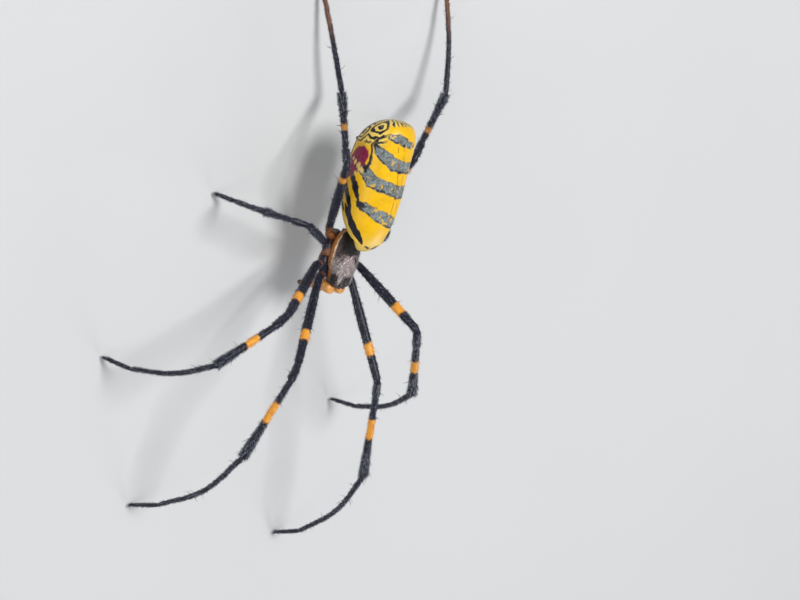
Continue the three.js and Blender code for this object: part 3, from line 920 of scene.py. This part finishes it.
# How much nearer the body a leg's tibia ring sits than its pair's, as a share of the segment
RING_SHIFT = {"leg_4_left": 0.14}
# By segment from coxa to tarsus: how thick the hair stands, and how often a bristle takes a hair's place
HAIR_CROWD = (0.25, 0.9, 1.0, 1.25, 1.1, 1.0)
SPINE_CHANCE = (0, 0.008, 0.009, 0.012, 0.008, 0.0)
HAIRS_PER_STATION = 15


def leg_masks(name, parts, shares, where, points):
    """Orange rings and brown ends of a leg, read at each vertex's station."""
    pair = int(name[4])
    station = np.clip(np.round(where).astype(int), 0, len(parts) - 1)
    part, share = parts[station], shares[station]
    wobble = noise(points, 0.35, 61) * RING_EDGE
    ring = np.zeros(len(points))
    for ringed, first, last, strength in LEG_RINGS[pair]:
        place = share + wobble + (RING_SHIFT.get(name, 0.0) if ringed == "tibia" else 0.0)
        edge = smooth(first - RING_EDGE, first + RING_EDGE, place)
        edge *= smooth(last + RING_EDGE, last - RING_EDGE, place)
        ring = np.maximum(ring, edge * (part == LEG_PARTS.index(ringed)) * strength)
    browns = [(part == COXA) * smooth(-0.1, 0.35, noise(points, 0.5, 67)) * 0.7,
              (part == FEMUR) * smooth(0.07, 0.03, share) * 0.5]
    if pair == 4:
        browns += [(part == FEMUR) * smooth(0.10, 0.06, share), (part == COXA) * smooth(0.6, 0.8, share),
                   (part == METATARSUS) * smooth(0.45, 0.8, share) * 0.7, (part == TARSUS) * 0.7]
    return ring, np.maximum.reduce(browns)


def leg_hair(name, leg, tone):
    places, parts, shares, to_joint, radius = leg
    draw = np.random.default_rng(100 + LEG_NAMES.index(name))
    tangent, beside, above = carried_frames(places)
    brush = np.where(parts == TIBIA, smooth(0.45, 0.9, shares), 0.0)
    crowd = np.array(HAIR_CROWD)[parts] * np.where(parts == TIBIA, 0.8 + 1.5 * brush, 1.0)
    crowd *= smooth(0.05, 0.3, to_joint)
    count = len(places) * HAIRS_PER_STATION
    pick = draw.choice(len(places), size=count, p=crowd / crowd.sum())
    offset = draw.uniform(-0.5, 0.5, count)
    step = np.clip(pick + np.sign(offset).astype(int), 0, len(places) - 1)
    part_way = np.abs(offset)[:, None]
    centre = places[pick] * (1 - part_way) + places[step] * part_way
    angle = draw.uniform(0, math.tau, count)
    normal = beside[pick] * np.cos(angle)[:, None] + above[pick] * np.sin(angle)[:, None]
    roots = centre + normal * (radius[pick] * 0.97)[:, None]
    keep = roots[:, 2] > 0.35
    reach = sizes().leg_hair * PER_MM * draw.uniform(0.55, 1.3, count)
    reach *= np.where(parts[pick] >= METATARSUS, 0.8, 1.0 + 0.45 * brush[pick])
    width = sizes().hair_width * PER_MM * draw.uniform(0.6, 1.1, count)
    spine = draw.random(count) < np.array(SPINE_CHANCE)[parts[pick]]
    reach = np.where(spine, sizes().leg_spine * PER_MM * draw.uniform(0.7, 1.1, count), reach)
    width = np.where(spine, width * 1.5, width)
    lean = tangent[pick] * draw.uniform(0.7, 1.5, count)[:, None] + draw.normal(0, 0.18, (count, 3))
    lean = np.where(spine[:, None], lean * 0.6, lean)
    light = np.where(spine, 0.5, draw.choice([0.08, 1.0], count, p=[0.62, 0.38]))
    ring, _ = leg_masks(name, parts, shares, pick, roots)
    reach = np.minimum(reach, np.clip((roots[:, 2] - 0.05) / 0.9, 0.05, None))
    spots = np.clip(np.stack([angle / math.tau, (pick + 0.5) / len(places)], axis=1), 0, 1)
    rows = (values[keep] for values in (roots, normal, lean, reach, width, spots))
    grow_hairs(f"{name}_hair", *rows, tone, "leg", light[keep], ring[keep])


def build_leg(name, cuticle, hair_tone, horn):
    leg = leg_stations(name)
    places, parts, shares, _, radius = leg
    piece = object_from_bmesh(name, sweep(places, radius, LEG_SIDES), cuticle)
    mesh = piece.data
    ring, brown = leg_masks(name, parts, shares, read_mask(mesh, "station"), read_points(mesh) * PER_MM)
    write_masks(mesh, ring=ring, brown=brown)
    mount(piece, "leg", *[f"{name}_{part}" for part in LEG_PARTS])
    leg_hair(name, leg, hair_tone)
    build_claws(name, places, horn)


def build_claws(name, places, horn):
    """Two small hooked claws at the end of a foot."""
    heading = unit(places[-1] - places[-6])
    level = unit(heading * np.array([1.0, 1.0, 0.0]))
    beside = np.array([-level[1], level[0], 0.0])
    length = sizes().claw * PER_MM
    t = np.linspace(0, 1, 7)[:, None]
    for word, side in SIDES.items():
        start = places[-1] - heading * 0.12 + np.array([0, 0, 0.05]) + beside * side * 0.05
        path = start + level * length * t + beside * side * 0.08 * t
        path[:, 2] += length * (0.30 * t - 0.55 * t * t)[:, 0]
        path[:, 2] = np.maximum(path[:, 2], 0.035)
        add_tube(f"{name}_claw_{word}", path, np.linspace(0.05, 0.01, len(t)), 8, horn, "fang")


def swept_part(name, node, form, material, slot, near):
    """A tube down the middle of a solid, from its end nearer to the given point; returns its far end."""
    path = segment_path(node, near)
    path[0] += unit(path[0] - path[-1]) * form.get("grow", 0.0)
    reach = path_reach(path)
    t = np.linspace(0, 1, TUBE_STATIONS)
    along = t * reach[-1]
    ends = np.minimum(along, reach[-1] - along)
    radius = blend(form["radii"], t) * np.sqrt(np.clip(ends / TUBE_ROUNDING + 0.04, 0.04, 1))
    add_tube(name, points_along(path, reach, along), radius, form["sides"], material, slot, (node,),
             form.get("dark"))
    return path[-1]


def build_spinnerets():
    low, high = node_box("spinnerets")
    middle, size = (low + high) / 2, high - low
    tone = cuticle_material("spinneret_cuticle", SPINNERET_BROWN, 0.5, 0.1)
    t = np.linspace(0, 1, 14)[:, None]
    radius = blend(SPINNERET_RADII, t[:, 0])
    radius[-1] = 0.05
    for row, (forward, reach) in enumerate(SPINNERET_ROWS, 1):
        for word, side in SIDES.items():
            root = middle + np.array([side * size[0] * 0.2, forward * size[1], size[2] * 0.38])
            lean = np.array([side * 0.12, -0.45 + forward * 0.5, -1.0])
            places = root + lean * t * size[2] * 0.7 * reach
            add_tube(f"spinneret_{row}_{word}", places, radius, 16, tone, "spinneret", ("spinnerets",))


class WEAVER_OT_abdomen(bpy.types.Operator):
    """Model the banded abdomen and the narrow waist"""

    bl_idname = "weaver.abdomen"
    bl_label = "Abdomen"

    def execute(self, context):
        build_abdomen()
        build_waist()
        return {"FINISHED"}


class WEAVER_OT_carapace(bpy.types.Operator):
    """Model the carapace with its silvery hair and the eyes"""

    bl_idname = "weaver.carapace"
    bl_label = "Carapace and Eyes"

    def execute(self, context):
        carapace_hair(*build_carapace())
        build_eyes()
        return {"FINISHED"}


class WEAVER_OT_mouth(bpy.types.Operator):
    """Model the jaws, fangs and feelers"""

    bl_idname = "weaver.mouth"
    bl_label = "Jaws and Feelers"

    def execute(self, context):
        jaw = cuticle_material("jaw_cuticle", JAW_ORANGE, 0.35)
        feeler = cuticle_material("feeler_cuticle", shades(colours().orange, 0.45))
        horn = cuticle_material("fang_horn", FANG_HORN, 0.2, 0.8)
        above = PROSOMA_MIDDLE + np.array([0, 2.5, 2.0])
        for word in SIDES:
            end = swept_part(f"jaw_{word}", f"chelicera_{word}", JAW, jaw, "jaw", above)
            swept_part(f"fang_{word}_horn", f"fang_{word}", FANG, horn, "fang", end)
            end = swept_part(f"feeler_{word}_root", f"palp_{word}_base", FEELER_ROOT, feeler, "palp",
                             PROSOMA_MIDDLE)
            swept_part(f"feeler_{word}_end", f"palp_{word}_tip", FEELER_END, feeler, "palp", end)
        return {"FINISHED"}


class WEAVER_OT_legs(bpy.types.Operator):
    """Model the eight ringed legs with their hair and claws"""

    bl_idname = "weaver.legs"
    bl_label = "Legs"

    def execute(self, context):
        cuticle = leg_material()
        hair_tone = hair_material("leg_hair_tone", LEG_HAIR)
        horn = cuticle_material("claw_horn", CLAW_HORN, 0.25, 0.5)
        for name in LEG_NAMES:
            build_leg(name, cuticle, hair_tone, horn)
        return {"FINISHED"}


class WEAVER_OT_spinnerets(bpy.types.Operator):
    """Model the spinnerets under the rear of the abdomen"""

    bl_idname = "weaver.spinnerets"
    bl_label = "Spinnerets"

    def execute(self, context):
        build_spinnerets()
        return {"FINISHED"}


class WEAVER_OT_stage(bpy.types.Operator):
    """Set the floor, the soft light and the camera"""

    bl_idname = "weaver.stage"
    bl_label = "Stage"

    def execute(self, context):
        scene = context.scene
        bm = bmesh.new()
        bmesh.ops.create_grid(bm, x_segments=8, y_segments=8, size=FLOOR_REACH)
        material, tree, shader = new_material("floor_paint", 0.8)
        finish(tree, shader, mixed(tree, grain(tree, 0.02, 3.0), *FLOOR_GREY))
        object_from_bmesh("floor", bm, material)
        anchor = Vector((MIDLINE, CENTRE_Y, 0.0))
        place_lights(anchor * MM)
        camera = bpy.data.objects.new("camera", bpy.data.cameras.new("camera"))
        scene.collection.objects.link(camera)
        turn = Matrix((CAMERA_RIGHT, CAMERA_UP, CAMERA_RIGHT.cross(CAMERA_UP))).transposed().to_4x4()
        camera.matrix_world = Matrix.Translation((anchor + CAMERA_OFFSET) * MM) @ turn
        camera.data.lens = LENS
        camera.data.sensor_width = SENSOR
        camera.data.clip_start, camera.data.clip_end = CLIP
        scene.camera = camera
        scene.view_settings.view_transform = "Standard"
        return {"FINISHED"}


# Lights, as (name, direction from the body, size, watts), in metres
LIGHTS = (
    ("key", (0.02, -0.34, 0.60), 0.24, 3.7),
    ("fill", (0.60, 0.15, 0.35), 0.45, 1.2),
    ("rim", (-0.45, 0.45, 0.25), 0.30, 1.2),
)


def place_lights(anchor):
    world = bpy.data.worlds.new("soft_room")
    bpy.context.scene.world = world
    world.use_nodes = True
    room = world.node_tree.nodes["Background"]
    room.inputs["Color"].default_value = (*ROOM_TONE, 1.0)
    room.inputs["Strength"].default_value = ROOM_STRENGTH
    for name, offset, size, watts in LIGHTS:
        data = bpy.data.lights.new(name, "AREA")
        data.shape = "DISK"
        data.size = size
        data.energy = watts
        light = bpy.data.objects.new(name, data)
        bpy.context.scene.collection.objects.link(light)
        light.location = anchor + Vector(offset)
        light.rotation_mode = "QUATERNION"
        light.rotation_quaternion = Vector(offset).to_track_quat("Z", "Y")


class WEAVER_PT_sidebar(bpy.types.Panel):
    """Lists the pieces and their sizes and colours"""

    bl_idname = "WEAVER_PT_sidebar"
    bl_label = "Orb Weaver"
    bl_space_type = "VIEW_3D"
    bl_region_type = "UI"
    bl_category = "Orb Weaver"

    def draw(self, context):
        layout = self.layout
        for group in (context.scene.weaver_sizes, context.scene.weaver_colours):
            box = layout.box()
            for key in group.__annotations__:
                box.prop(group, key)
        for operator in PIECE_OPERATORS:
            layout.operator(operator.bl_idname)


PIECE_OPERATORS = (
    WEAVER_OT_stage,
    WEAVER_OT_abdomen,
    WEAVER_OT_carapace,
    WEAVER_OT_mouth,
    WEAVER_OT_spinnerets,
    WEAVER_OT_legs,
)
CLASSES = (WeaverSizes, WeaverColours, *PIECE_OPERATORS, WEAVER_PT_sidebar)


def register():
    for item in CLASSES:
        bpy.utils.register_class(item)
    bpy.types.Scene.weaver_sizes = bpy.props.PointerProperty(type=WeaverSizes)
    bpy.types.Scene.weaver_colours = bpy.props.PointerProperty(type=WeaverColours)


def unregister():
    del bpy.types.Scene.weaver_colours
    del bpy.types.Scene.weaver_sizes
    for item in reversed(CLASSES):
        bpy.utils.unregister_class(item)


def main():
    register()
    for operator in PIECE_OPERATORS:
        group, name = operator.bl_idname.split(".")
        getattr(getattr(bpy.ops, group), name)()


if __name__ == "__main__":
    main()
